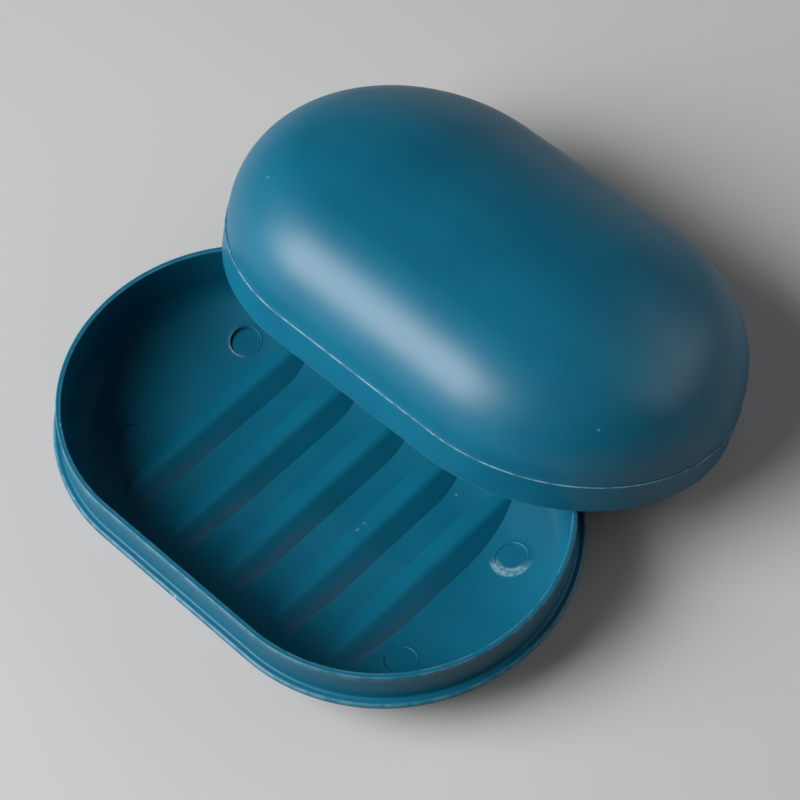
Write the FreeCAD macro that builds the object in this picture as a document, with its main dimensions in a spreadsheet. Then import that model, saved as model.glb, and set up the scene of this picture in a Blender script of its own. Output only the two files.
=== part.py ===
import FreeCAD, Part
import math
import os
import Sketcher

# Travel soap box of two thin mouldings: a ribbed base tray with a plug rim, and a domed lid.
# Both have a stadium outline: straight long sides along X, half-round ends.
# The origin is the middle of the tray's underside, on the table, with +Z up and +X along the box.
# The lid is drawn about its own mouth, then leaned on the tray's rim with its back edge on the table.

SIZES = {
    # Outline of the closed box, over the tray's ledge
    "box_length": 120.0,
    "box_width": 78.5,
    # Fit between the pieces: the ledge is as wide as the lid's skirt, its gap and its set-back
    "fit_clearance": 0.2,
    "ledge_reveal": 0.05,
    # Base tray
    "ledge_height": 12.0,
    "flange_thickness": 1.5,
    "spigot_height": 8.0,
    "rim_wall": 1.2,
    "rim_round": 0.3,
    "tray_wall": 1.5,
    "floor_flat": 30.0,
    "bowl_corner": 6.0,
    "core_draft": 0.15,
    # Soap ribs across the tray's floor, straight flanks to a round crest, with a flute of even wall beneath
    "rib_count": 5,
    "rib_pitch": 14.6,
    "rib_width": 9.2,
    "rib_height": 2.1,
    "rib_crest": 2.2,
    # Flat witness discs of the four ejector pins, beyond the end ribs and each side of the middle
    "pin_radius": 3.4,
    "pin_beyond": 9.7,
    "pin_across": 16.2,
    "pin_depth": 0.12,
    # Pad in the middle of the underside where the plastic enters the mould
    "gate_radius": 5.0,
    # Lid
    "lid_wall": 1.25,
    "line_step": 0.25,
    "skirt_band": 6.9,
    "skirt_draft": 0.2,
    "edge_round": 0.35,
    "dome_side": 2.5,
    "shoulder_radius": 20.0,
    "crown_radius": 73.0,
    # Where the opened lid lies: its front over the tray's back, a little to the left, just clear of the rim
    "lid_overlap": 29.9,
    "lid_aside": -0.8,
    "lid_clear": 0.15,
}

# Sizes that follow from the driving ones, as expressions on the sheet
END_CENTRE = "((Sizes.box_length - Sizes.box_width) / 2)"
LEDGE_RADIUS = "(Sizes.box_width / 2)"
BAND_RADIUS = f"({LEDGE_RADIUS} - Sizes.ledge_reveal)"
DOME_RADIUS = f"({BAND_RADIUS} - Sizes.line_step)"
MOUTH_RADIUS = f"({DOME_RADIUS} - Sizes.lid_wall)"
SPIGOT_RADIUS = f"({MOUTH_RADIUS} - Sizes.fit_clearance)"
ROOT_ROUND = "(Sizes.fit_clearance + Sizes.edge_round)"
RIM_INNER = f"({SPIGOT_RADIUS} - Sizes.rim_wall)"
BOWL_RADIUS = f"({RIM_INNER} - Sizes.core_draft)"
FLOOR_END = "(Sizes.floor_flat / 2)"
BOWL_TOP = "(Sizes.ledge_height - Sizes.flange_thickness)"
RIM_TOP = "(Sizes.ledge_height + Sizes.spigot_height)"
RIB_HALF = "(Sizes.rib_width / 2)"
CREST_DROP = "(Sizes.rib_crest - Sizes.rib_height)"
CREST_SPAN = f"({RIB_HALF} ^ 2 - Sizes.rib_crest ^ 2)"
FLANK_RISE = f"(Sizes.rib_crest * sqrt({CREST_SPAN} + {CREST_DROP} ^ 2) - {RIB_HALF} * {CREST_DROP})"
FLANK_SLOPE = f"({FLANK_RISE} / {CREST_SPAN})"
FLUTE_HALF = f"({RIB_HALF} - Sizes.tray_wall * (sqrt(1 + {FLANK_SLOPE} ^ 2) - 1) / {FLANK_SLOPE})"
LAST_RIB = "(Sizes.rib_pitch * (Sizes.rib_count - 1) / 2)"
PIN_ALONG = f"({LAST_RIB} + Sizes.pin_beyond)"
SHOULDER_TOP = "(Sizes.skirt_band + Sizes.dome_side)"
SHOULDER_CENTRE = f"({DOME_RADIUS} - Sizes.shoulder_radius)"
CROWN_DROP = f"sqrt((Sizes.crown_radius - Sizes.shoulder_radius) ^ 2 - {SHOULDER_CENTRE} ^ 2)"
LID_HEIGHT = f"({SHOULDER_TOP} + Sizes.crown_radius - {CROWN_DROP})"
SKIRT_FOOT = f"({BAND_RADIUS} - Sizes.skirt_draft)"
LID_BEHIND = "(Sizes.box_width - Sizes.lid_overlap)"

doc = FreeCAD.newDocument("SoapBox")


def fill_sheet():
    """Write the driving sizes to a sheet, one alias each."""
    table = doc.addObject("Spreadsheet::Sheet", "Sizes")
    for row, (alias, value) in enumerate(SIZES.items(), start=1):
        table.set(f"A{row}", alias.replace("_", " "))
        table.set(f"B{row}", str(value))
        table.setAlias(f"B{row}", alias)
    doc.recompute()
    return table


def size(expression):
    """Return the present value of an expression on the sheet."""
    return float(sheet.evalExpression(expression))


def plane(body, role):
    """Return one of a body's own origin planes or axes."""
    return next(item for item in body.Origin.OriginFeatures if item.Role == role)


def open_sketch(body, name, role, offset=None):
    """Start a sketch on an origin plane, moved along the plane's normal by an expression."""
    sketch = body.newObject("Sketcher::SketchObject", name)
    sketch.AttachmentSupport = [(plane(body, role), "")]
    sketch.MapMode = "FlatFace"
    if offset:
        sketch.setExpression("AttachmentOffset.Base.z", offset)
    return sketch


def drive(sketch, kind, where, expression):
    """Add a dimension to a sketch and bind it to the sheet."""
    index = sketch.addConstraint(Sketcher.Constraint(kind, *where, size(expression)))
    sketch.setExpression(f"Constraints[{index}]", expression)


def fix_point(sketch, geometry, end, place):
    """Place a point by its two expressions; a coordinate of "0" puts it on that axis."""
    for kind, axis, expression in (("DistanceX", -2, place[0]), ("DistanceY", -1, place[1])):
        if expression == "0":
            sketch.addConstraint(Sketcher.Constraint("PointOnObject", geometry, end, axis))
        else:
            drive(sketch, kind, (-1, 1, geometry, end), expression)


def arc_between(start, end, radius, turn):
    """Return the short arc from start to end that turns left (1) or right (-1)."""
    chord = end - start
    reach = math.sqrt(max(radius**2 - chord.Length**2 / 4, 0.0))
    left = FreeCAD.Vector(-chord.y, chord.x, 0).normalize()
    centre = (start + end) * 0.5 + left * (reach * turn)
    first, last = (start, end) if turn > 0 else (end, start)
    angles = [math.atan2(point.y - centre.y, point.x - centre.x) for point in (first, last)]
    if angles[1] <= angles[0]:
        angles[1] += 2 * math.pi
    return Part.ArcOfCircle(Part.Circle(centre, FreeCAD.Vector(0, 0, 1), radius), *angles)


def draw_outline(sketch, corners, edges, smooth):
    """Draw a closed outline of lines and arcs and constrain it to the sheet.

    A corner is two expressions, or two start values where tangency places it. An edge is (from, to) for a
    line or (from, to, radius, turn) for an arc, whose radius is an expression, or a start value where
    tangency sets it. smooth names the corners where the two edges are tangent. Returns each edge's geometry
    index and the numbers of its ends, by the edge's two corners.
    """
    dimensioned = {name for name, place in corners.items() if isinstance(place[0], str)}
    start_at = {}
    for name, place in corners.items():
        values = [size(value) if isinstance(value, str) else value for value in place]
        start_at[name] = FreeCAD.Vector(*values, 0)
    drawn = {}
    for edge in edges:
        begin, finish = start_at[edge[0]], start_at[edge[1]]
        ends = (1, 2)
        if len(edge) == 2:
            index = sketch.addGeometry(Part.LineSegment(begin, finish), False)
        else:
            radius, turn = edge[2:]
            value = size(radius) if isinstance(radius, str) else radius
            index = sketch.addGeometry(arc_between(begin, finish, value, turn), False)
            ends = (1, 2) if turn > 0 else (2, 1)
        drawn[edge[:2]] = (index, *ends)
    for edge, following in zip(edges, edges[1:] + edges[:1]):
        before, after = drawn[edge[:2]], drawn[following[:2]]
        kind = "Tangent" if edge[1] in smooth else "Coincident"
        sketch.addConstraint(Sketcher.Constraint(kind, before[0], before[2], after[0], after[1]))
    for edge in edges:
        index, begin, _ = drawn[edge[:2]]
        if edge[0] in dimensioned:
            fix_point(sketch, index, begin, corners[edge[0]])
        if len(edge) > 2 and isinstance(edge[2], str):
            drive(sketch, "Radius", (index,), edge[2])
    return drawn


def sweep_stadium(body, section):
    """Carry a half section along both straight sides and round both ends of the stadium."""
    side = body.newObject("PartDesign::Pad", "side")
    side.Profile = section
    side.Reversed = True
    side.setExpression("Length", f"2 * {END_CENTRE}")
    far_side = body.newObject("PartDesign::Mirrored", "far_side")
    far_side.Originals = [side]
    far_side.MirrorPlane = (plane(body, "XZ_Plane"), [""])
    body.Tip = far_side
    round_end = body.newObject("PartDesign::Revolution", "round_end")
    round_end.Profile = section
    round_end.ReferenceAxis = (section, ["V_Axis"])
    round_end.Angle = 180
    round_end.Reversed = True
    far_end = body.newObject("PartDesign::Mirrored", "far_end")
    far_end.Originals = [round_end]
    far_end.MirrorPlane = (plane(body, "YZ_Plane"), [""])
    body.Tip = far_end
    doc.recompute()


def cut_across(body, name, floor, half_width, crest):
    """Cut the row of rib sections across a body, along Y: two flanks up from the floor to a round crest."""
    before = body.Shape.Volume
    section = open_sketch(body, f"{name}_section", "XZ_Plane")
    lean = math.atan(size(FLANK_SLOPE))
    reach = size(crest) * math.sin(lean)
    shoulder = size(f"{floor} + Sizes.rib_height") - size(crest) * (1 - math.cos(lean))
    corners = {
        "left_foot": (f"{LAST_RIB} - {half_width}", floor),
        "left_shoulder": (size(LAST_RIB) - reach, shoulder),
        "right_shoulder": (size(LAST_RIB) + reach, shoulder),
        "right_foot": (f"{LAST_RIB} + {half_width}", floor),
    }
    edges = [
        ("left_foot", "left_shoulder"),
        ("left_shoulder", "right_shoulder", crest, -1),
        ("right_shoulder", "right_foot"),
        ("right_foot", "left_foot"),
    ]
    drawn = draw_outline(section, corners, edges, {"left_shoulder", "right_shoulder"})
    index = drawn["left_shoulder", "right_shoulder"][0]
    fix_point(section, index, 3, (LAST_RIB, f"{floor} + Sizes.rib_height - {crest}"))
    last = body.newObject("PartDesign::Pocket", name)
    last.Profile = section
    last.SideType = "Symmetric"
    last.setExpression("Length", "Sizes.box_width")
    row = body.newObject("PartDesign::LinearPattern", f"{name}_row")
    row.Originals = [last]
    row.Direction = (plane(body, "X_Axis"), [""])
    row.Reversed = True
    row.setExpression("Length", f"2 * {LAST_RIB}")
    row.setExpression("Occurrences", "Sizes.rib_count")
    body.Tip = row
    doc.recompute()
    if body.Shape.Volume >= before:
        raise RuntimeError(f"{name} cut nothing from {body.Label}")


def bowl_join(wall_radius, floor, corner):
    """Return start values of the bowl's large radius and of the joint of its two arcs.

    The large arc leaves the level floor at its end, and the corner arc turns upright at the wall.
    """
    end = size(FLOOR_END)
    run = size(wall_radius) - end - corner
    rise = size(BOWL_TOP) - floor
    large = (run**2 + rise**2 - corner**2) / (2 * (rise - corner))
    angle = math.atan2(large - rise, run)
    return large, (end + run + corner * math.cos(angle), floor + rise - corner * math.sin(angle))


def tray_blank():
    """The tray's outside as a solid: fluted underside with gate pad, swept bowl, ledge and plug rim."""
    body = doc.addObject("PartDesign::Body", "TrayBlank")
    section = open_sketch(body, "blank_section", "YZ_Plane", END_CENTRE)
    wall_radius = f"({BOWL_RADIUS} + Sizes.tray_wall)"
    corner = "(Sizes.bowl_corner + Sizes.tray_wall)"
    large, join = bowl_join(wall_radius, 0.0, size(corner))
    nose = f"({LEDGE_RADIUS} - Sizes.flange_thickness / 2)"
    corners = {
        "underside_middle": ("0", "0"),
        "underside_end": (FLOOR_END, "0"),
        "bowl_join": join,
        "bowl_top": (wall_radius, BOWL_TOP),
        "nose_below": (nose, BOWL_TOP),
        "nose_above": (nose, "Sizes.ledge_height"),
        "root_below": (f"{SPIGOT_RADIUS} + {ROOT_ROUND}", "Sizes.ledge_height"),
        "root_above": (SPIGOT_RADIUS, f"Sizes.ledge_height + {ROOT_ROUND}"),
        "rim_side": (SPIGOT_RADIUS, f"{RIM_TOP} - Sizes.rim_round"),
        "rim_land": (f"{SPIGOT_RADIUS} - Sizes.rim_round", RIM_TOP),
        "rim_middle": ("0", RIM_TOP),
    }
    edges = [
        ("underside_middle", "underside_end"),
        ("underside_end", "bowl_join", large, 1),
        ("bowl_join", "bowl_top", corner, 1),
        ("bowl_top", "nose_below"),
        ("nose_below", "nose_above", size("Sizes.flange_thickness") / 2, 1),
        ("nose_above", "root_below"),
        ("root_below", "root_above", ROOT_ROUND, -1),
        ("root_above", "rim_side"),
        ("rim_side", "rim_land", "Sizes.rim_round", 1),
        ("rim_land", "rim_middle"),
        ("rim_middle", "underside_middle"),
    ]
    drawn = draw_outline(section, corners, edges, {"underside_end", "bowl_join", "nose_above"})
    index, _, end = drawn["bowl_join", "bowl_top"]
    section.addConstraint(Sketcher.Constraint("Horizontal", index, 3, index, end))
    sweep_stadium(body, section)
    cut_across(body, "flute", "0", FLUTE_HALF, "(Sizes.rib_crest - Sizes.tray_wall)")
    circle = open_sketch(body, "gate_circle", "XY_Plane")
    round_edge = Part.Circle(FreeCAD.Vector(), FreeCAD.Vector(0, 0, 1), size("Sizes.gate_radius"))
    index = circle.addGeometry(round_edge, False)
    circle.addConstraint(Sketcher.Constraint("Coincident", index, 3, -1, 1))
    drive(circle, "Radius", (index,), "Sizes.gate_radius")
    gate = body.newObject("PartDesign::Pad", "gate_pad")
    gate.Profile = circle
    gate.setExpression("Length", "Sizes.rib_height + Sizes.tray_wall / 2")
    body.Tip = gate
    return body


def tray_core():
    """The tray's hollow as a solid core: flared mouth, drafted wall, and bowl with the ribs as grooves."""
    body = doc.addObject("PartDesign::Body", "TrayCore")
    section = open_sketch(body, "core_section", "YZ_Plane", END_CENTRE)
    large, join = bowl_join(BOWL_RADIUS, size("Sizes.tray_wall"), size("Sizes.bowl_corner"))
    lip = f"({RIM_INNER} + Sizes.rim_round)"
    above = f"({RIM_TOP} + Sizes.rim_wall)"
    corners = {
        "floor_middle": ("0", "Sizes.tray_wall"),
        "floor_end": (FLOOR_END, "Sizes.tray_wall"),
        "bowl_join": join,
        "bowl_top": (BOWL_RADIUS, BOWL_TOP),
        "lip_below": (RIM_INNER, f"{RIM_TOP} - Sizes.rim_round"),
        "lip_above": (lip, RIM_TOP),
        "mouth_side": (lip, above),
        "mouth_middle": ("0", above),
    }
    edges = [
        ("floor_middle", "floor_end"),
        ("floor_end", "bowl_join", large, 1),
        ("bowl_join", "bowl_top", "Sizes.bowl_corner", 1),
        ("bowl_top", "lip_below"),
        ("lip_below", "lip_above", "Sizes.rim_round", -1),
        ("lip_above", "mouth_side"),
        ("mouth_side", "mouth_middle"),
        ("mouth_middle", "floor_middle"),
    ]
    drawn = draw_outline(section, corners, edges, {"floor_end", "bowl_join", "bowl_top"})
    sweep_stadium(body, section)
    cut_across(body, "rib_groove", "Sizes.tray_wall", RIB_HALF, "Sizes.rib_crest")
    return body, section.Geometry[drawn["floor_end", "bowl_join"][0]].Radius


def ejector_pins(bowl_radius):
    """Four pins that stand square to the bowl's sweep and leave flat discs in it."""
    out_along = max(size(f"{PIN_ALONG} - {END_CENTRE}"), 0.0)
    out_across = size("Sizes.pin_across")
    outward = math.hypot(out_along, out_across)
    slope = math.asin(max(outward - size(FLOOR_END), 0.0) / bowl_radius)
    rise = size("Sizes.tray_wall") + bowl_radius * (1 - math.cos(slope))
    pins = []
    for x_side in (-1, 1):
        for y_side in (-1, 1):
            # A pin as tall as its radius stands well up into the core.
            pin = doc.addObject("Part::Cylinder", "EjectorPin")
            pin.setExpression("Radius", "Sizes.pin_radius")
            pin.setExpression("Height", "Sizes.pin_radius")
            tilt = math.sin(slope) / outward
            lean = FreeCAD.Vector(-x_side * out_along * tilt, -y_side * out_across * tilt, math.cos(slope))
            foot = FreeCAD.Vector(x_side * size(PIN_ALONG), y_side * out_across, rise)
            foot -= lean * size("Sizes.pin_depth")
            pin.Placement = FreeCAD.Placement(foot, FreeCAD.Rotation(FreeCAD.Vector(0, 0, 1), lean))
            pins.append(pin)
    return pins


def base_tray():
    """The ribbed tray: the blank less the core and its ejector pins."""
    blank = tray_blank()
    core, bowl_radius = tray_core()
    plug = doc.addObject("Part::MultiFuse", "CoreWithPins")
    plug.Shapes = [core, *ejector_pins(bowl_radius)]
    tray = doc.addObject("Part::Cut", "BaseTray")
    tray.Base = blank
    tray.Tool = plug
    tray.Label = "base_tray"
    tray.Placement = FreeCAD.Placement()
    return tray


def lid():
    """The lid: plain skirt, fine step line and a pillow dome of even wall, with its mouth at z = 0."""
    body = doc.addObject("PartDesign::Body", "Lid")
    body.Label = "lid"
    section = open_sketch(body, "lid_section", "YZ_Plane", END_CENTRE)
    # The line through the centres of the crown's and the shoulder's arcs meets both walls at their joints.
    crown, wall = size("Sizes.crown_radius"), size("Sizes.lid_wall")
    centre_height = size(LID_HEIGHT) - crown
    angle = math.atan2(size(CROWN_DROP), size(SHOULDER_CENTRE))
    joins = []
    for radius in (crown, crown - wall):
        joins.append((radius * math.cos(angle), centre_height + radius * math.sin(angle)))
    inner_shoulder = "(Sizes.shoulder_radius - Sizes.lid_wall)"
    corners = {
        "lip_inner": (f"{MOUTH_RADIUS} + Sizes.edge_round", "0"),
        "lip_outer": (f"{SKIRT_FOOT} - Sizes.edge_round", "0"),
        "skirt_foot": (SKIRT_FOOT, "Sizes.edge_round"),
        "step_outer": (BAND_RADIUS, "Sizes.skirt_band"),
        "step_inner": (DOME_RADIUS, "Sizes.skirt_band"),
        "dome_foot": (DOME_RADIUS, SHOULDER_TOP),
        "shoulder_join": joins[0],
        "crown": ("0", LID_HEIGHT),
        "crown_inner": ("0", f"{LID_HEIGHT} - Sizes.lid_wall"),
        "shoulder_join_inner": joins[1],
        "dome_foot_inner": (MOUTH_RADIUS, SHOULDER_TOP),
        "mouth": (MOUTH_RADIUS, "Sizes.edge_round"),
    }
    edges = [
        ("lip_inner", "lip_outer"),
        ("lip_outer", "skirt_foot", "Sizes.edge_round", 1),
        ("skirt_foot", "step_outer"),
        ("step_outer", "step_inner"),
        ("step_inner", "dome_foot"),
        ("dome_foot", "shoulder_join", "Sizes.shoulder_radius", 1),
        ("shoulder_join", "crown", crown, 1),
        ("crown", "crown_inner"),
        ("crown_inner", "shoulder_join_inner", crown - wall, -1),
        ("shoulder_join_inner", "dome_foot_inner", inner_shoulder, -1),
        ("dome_foot_inner", "mouth"),
        ("mouth", "lip_inner", "Sizes.edge_round", 1),
    ]
    smooth = {"dome_foot", "shoulder_join", "shoulder_join_inner", "dome_foot_inner"}
    drawn = draw_outline(section, corners, edges, smooth)
    for edge in (("shoulder_join", "crown"), ("crown_inner", "shoulder_join_inner")):
        section.addConstraint(Sketcher.Constraint("PointOnObject", drawn[edge][0], 3, -2))
    sweep_stadium(body, section)
    return body


def rim_crossing(lean, aside):
    """Return how far back the lid's leaning mouth crosses the tray's rim on a round end."""
    rim, mouth = size(SPIGOT_RADIUS), size(MOUTH_RADIUS)
    behind = size(LID_BEHIND)
    low, high = 0.0, math.pi / 2
    for _ in range(60):
        angle = (low + high) / 2
        along = rim * math.cos(angle) - aside
        across = (rim * math.sin(angle) - behind) / math.cos(lean)
        if math.hypot(along, across) > mouth:
            low = angle
        else:
            high = angle
    return rim * math.sin(low)


def lid_rest():
    """Return where the open lid lies: mouth on the tray's rim at both ends, back edge on the table."""
    behind, aside = size(LID_BEHIND), size("Sizes.lid_aside")
    round_off = size("Sizes.edge_round")
    edge = size(SKIRT_FOOT) - round_off
    target = size(f"{RIM_TOP} + Sizes.lid_clear")
    low, high = 0.0, math.pi / 3
    for _ in range(60):
        lean = (low + high) / 2
        lift = edge * math.sin(lean) + round_off * (1 - math.cos(lean))
        back = max(rim_crossing(lean, aside), rim_crossing(lean, -aside))
        if lift + (behind - back) * math.tan(lean) < target:
            low = lean
        else:
            high = lean
    turn = FreeCAD.Rotation(FreeCAD.Vector(1, 0, 0), -math.degrees(lean))
    print(f"lid leans {math.degrees(lean):.2f} degrees, mouth's middle {lift:.2f} mm up")
    return FreeCAD.Placement(FreeCAD.Vector(aside, behind, lift), turn)


def check(objects):
    """Stop if any object failed or any sub-part's shape is missing or bad."""
    doc.recompute()
    for item in doc.Objects:
        if {"Invalid", "Error"} & set(item.State):
            raise RuntimeError(f"{item.Label} failed: {item.State}")
    for item in objects:
        if item.Shape.isNull() or not item.Shape.isValid() or len(item.Shape.Solids) != 1:
            raise RuntimeError(f"{item.Label} is not one sound solid")


sheet = fill_sheet()
tray = base_tray()
cover = lid()
check([tray, cover])

# The closed box is tried first: the skirt slips over the rim and sits on the ledge.
closed = cover.Shape.copy()
closed.translate(FreeCAD.Vector(0, 0, size("Sizes.ledge_height")))
print(f"closed box overlap {tray.Shape.common(closed).Volume:.4f} mm3")

cover.Placement = lid_rest()
check([tray, cover])
print(f"gap between the resting lid and the rim {tray.Shape.distToShape(cover.Shape)[0]:.3f} mm")

os.makedirs("parts", exist_ok=True)
for part in (tray, cover):
    part.Shape.exportStep(f"parts/{part.Label}.step")
    box = part.Shape.optimalBoundingBox(False)
    print(f"{part.Label}: {part.Shape.Volume:.0f} mm3, x {box.XMin:.2f} to {box.XMax:.2f}, "
          f"y {box.YMin:.2f} to {box.YMax:.2f}, z {box.ZMin:.2f} to {box.ZMax:.2f}")
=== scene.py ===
"""Looks of a travel soap box: its two satin mouldings, built and dressed in the CAD model's own frame."""

import logging
import math
from collections.abc import Iterable, Mapping, Sequence
from dataclasses import dataclass
from enum import Enum
from typing import Any

import bmesh
import bpy
import numpy as np
from mathutils import Matrix, Vector, geometry


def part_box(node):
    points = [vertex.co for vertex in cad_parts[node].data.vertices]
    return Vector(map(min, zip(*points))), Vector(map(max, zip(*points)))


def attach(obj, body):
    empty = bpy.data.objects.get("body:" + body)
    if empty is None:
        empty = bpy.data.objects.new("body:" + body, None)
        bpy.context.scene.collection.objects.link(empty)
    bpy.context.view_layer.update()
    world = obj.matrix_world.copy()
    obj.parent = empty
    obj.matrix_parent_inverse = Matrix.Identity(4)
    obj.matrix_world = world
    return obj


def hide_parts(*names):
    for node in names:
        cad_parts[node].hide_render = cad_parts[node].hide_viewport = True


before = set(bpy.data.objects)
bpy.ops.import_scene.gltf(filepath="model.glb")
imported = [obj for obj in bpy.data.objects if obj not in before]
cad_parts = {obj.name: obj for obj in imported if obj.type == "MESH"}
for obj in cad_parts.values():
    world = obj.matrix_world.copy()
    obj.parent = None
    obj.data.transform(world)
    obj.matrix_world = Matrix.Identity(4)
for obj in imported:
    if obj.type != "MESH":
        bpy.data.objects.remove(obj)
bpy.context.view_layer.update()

LOG = logging.getLogger("soap_box")
# Sizes below are millimetres, as in the CAD source, and meshes are metres.
MM = 0.001
CIRCLE_POINTS = 1440
# Points closer than WELD become one and edges shorter than SLIVER go, both in millimetres.
WELD, SLIVER = 0.004, 0.0005
# Edges sharper than this many degrees stay crisp.
CREASE = 16.0
# Slack for telling which side of a ring a point lies on.
HAIR = 0.01

Number = "float | Value"
Point = tuple[float, float]
Colour = tuple[float, float, float, float]


class Graph:
    """A node tree in the making, whose nodes all come from one method."""

    def __init__(self, tree: bpy.types.NodeTree) -> None:
        """Start on a tree."""
        self.tree = tree

    def node(self, kind: str, settings: Mapping[str, Any] | None = None,
             inputs: Mapping[str | int, Any] | None = None) -> bpy.types.Node:
        """Add a node.

        Args:
            kind: The node's type.
            settings: Its own settings by name, set first.
            inputs: Values or links of its sockets, by name or number.

        Returns:
            The new node.
        """
        made = self.tree.nodes.new(kind)
        for name, value in (settings or {}).items():
            setattr(made, name, value)
        for key, value in (inputs or {}).items():
            self.feed(made.inputs[key], value)
        return made

    def feed(self, socket: bpy.types.NodeSocket, value: Any) -> None:
        """Link a socket to another socket or a Value, or set it to a plain value."""
        source = value.socket if isinstance(value, Value) else value
        if isinstance(source, bpy.types.NodeSocket):
            self.tree.links.new(source, socket)
        else:
            socket.default_value = source

    def read(self, kind: str, settings: Mapping[str, Any] | None = None,
             inputs: Mapping[str | int, Any] | None = None, output: str | int = 0) -> "Value":
        """Add a node as node() does.

        Args:
            kind: The node's type.
            settings: Its own settings by name.
            inputs: Values or links of its sockets.
            output: The output to read, by name or number.

        Returns:
            That output as a Value.
        """
        return Value(self, self.node(kind, settings, inputs).outputs[output])

    def split(self, vector: bpy.types.NodeSocket) -> "tuple[Value, Value, Value]":
        """Return the three parts of a vector."""
        parts = self.node("ShaderNodeSeparateXYZ", inputs={"Vector": vector}).outputs
        return Value(self, parts[0]), Value(self, parts[1]), Value(self, parts[2])

    def mix(self, factor: "Value", first: Any, second: Any) -> bpy.types.NodeSocket:
        """Return a colour that goes from the first to the second as the factor goes from 0 to 1."""
        inputs = {"Factor": factor, "A": first, "B": second}
        return self.node("ShaderNodeMix", {"data_type": "RGBA"}, inputs).outputs["Result"]

    def upward(self) -> "Value":
        """Return how far the surface faces up, from -1 to 1."""
        return self.split(self.node("ShaderNodeNewGeometry").outputs["Normal"])[2]


class Value:
    """One number that varies over a shape: an output socket whose arithmetic adds Math nodes."""

    def __init__(self, graph: Graph, socket: bpy.types.NodeSocket) -> None:
        """Wrap an output socket of a graph."""
        self.graph = graph
        self.socket = socket

    def math(self, operation: str, *others: Number) -> "Value":
        """Return a Math operation on this value and the others."""
        return self.graph.read("ShaderNodeMath", {"operation": operation}, dict(enumerate((self, *others))))

    def __add__(self, other: Number) -> "Value":
        """Return the sum."""
        return self.math("ADD", other)

    def __sub__(self, other: Number) -> "Value":
        """Return the difference."""
        return self.math("SUBTRACT", other)

    def __rsub__(self, other: Number) -> "Value":
        """Return the difference from a number."""
        return self.math("MULTIPLY_ADD", -1.0, other)

    def __mul__(self, other: Number) -> "Value":
        """Return the product."""
        return self.math("MULTIPLY", other)

    def __truediv__(self, other: Number) -> "Value":
        """Return the quotient."""
        return self.math("DIVIDE", other)

    def __abs__(self) -> "Value":
        """Return the value without its sign."""
        return self.math("ABSOLUTE")

    __radd__ = __add__
    __rmul__ = __mul__

    def at_least(self, other: Number) -> "Value":
        """Return the larger of the two."""
        return self.math("MAXIMUM", other)

    def at_most(self, other: Number) -> "Value":
        """Return the smaller of the two."""
        return self.math("MINIMUM", other)

    def root(self) -> "Value":
        """Return the square root, or 0 of a value below 0."""
        return self.at_least(0.0).math("SQRT")

    def above(self, other: Number) -> "Value":
        """Return 1 where the value is above the other, else 0."""
        return self.math("GREATER_THAN", other)

    def rise(self, low: float, high: float) -> "Value":
        """Return a smooth step from 0 at low to 1 at high, either way round."""
        settings = {"interpolation_type": "SMOOTHSTEP"}
        inputs = {"Value": self, "From Min": low, "From Max": high}
        return self.graph.read("ShaderNodeMapRange", settings, inputs)


class ShapeRule:
    """A Geometry Nodes tree with named inputs, run once on a start mesh to give a plain mesh."""

    def __init__(self, name: str, inputs: Mapping[str, str]) -> None:
        """Make the tree.

        Args:
            name: The tree's name.
            inputs: Each input's name and the last part of its socket type, such as Float.
        """
        self.tree = bpy.data.node_groups.new(name, "GeometryNodeTree")
        self.graph = Graph(self.tree)
        self.keys: dict[str, str] = {}
        sockets = {"Start": "Geometry", **inputs, "Material": "Material"}
        for label, kind in sockets.items():
            made = self.tree.interface.new_socket(label, in_out="INPUT", socket_type=f"NodeSocket{kind}")
            self.keys[label] = made.identifier
        self.tree.interface.new_socket("Shape", in_out="OUTPUT", socket_type="NodeSocketGeometry")
        self.entry = self.graph.node("NodeGroupInput").outputs

    def size(self, label: str) -> Value:
        """Return a number input as a Value."""
        return Value(self.graph, self.entry[label])

    def close(self, shape: bpy.types.NodeSocket) -> None:
        """End the tree: instances made real, material set, group output linked."""
        real = self.graph.node("GeometryNodeRealizeInstances", inputs={"Geometry": shape})
        dressed = self.graph.node("GeometryNodeSetMaterial", inputs={
            "Geometry": real.outputs[0], "Material": self.entry["Material"]})
        self.graph.node("NodeGroupOutput", inputs={"Shape": dressed.outputs[0]})

    def run(self, start: bpy.types.Mesh, values: Mapping[str, Any]) -> bpy.types.Mesh:
        """Run the tree on a mesh.

        Args:
            start: The mesh that the tree begins with.
            values: The value of each named input.

        Returns:
            The result as a plain mesh.
        """
        holder = bpy.data.objects.new(self.tree.name, start)
        bpy.context.scene.collection.objects.link(holder)
        modifier = holder.modifiers.new("rule", "NODES")
        modifier.node_group = self.tree
        for label, value in values.items():
            modifier[self.keys[label]] = value
        made = bpy.data.meshes.new_from_object(holder.evaluated_get(bpy.context.evaluated_depsgraph_get()))
        bpy.data.objects.remove(holder)
        return made


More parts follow.
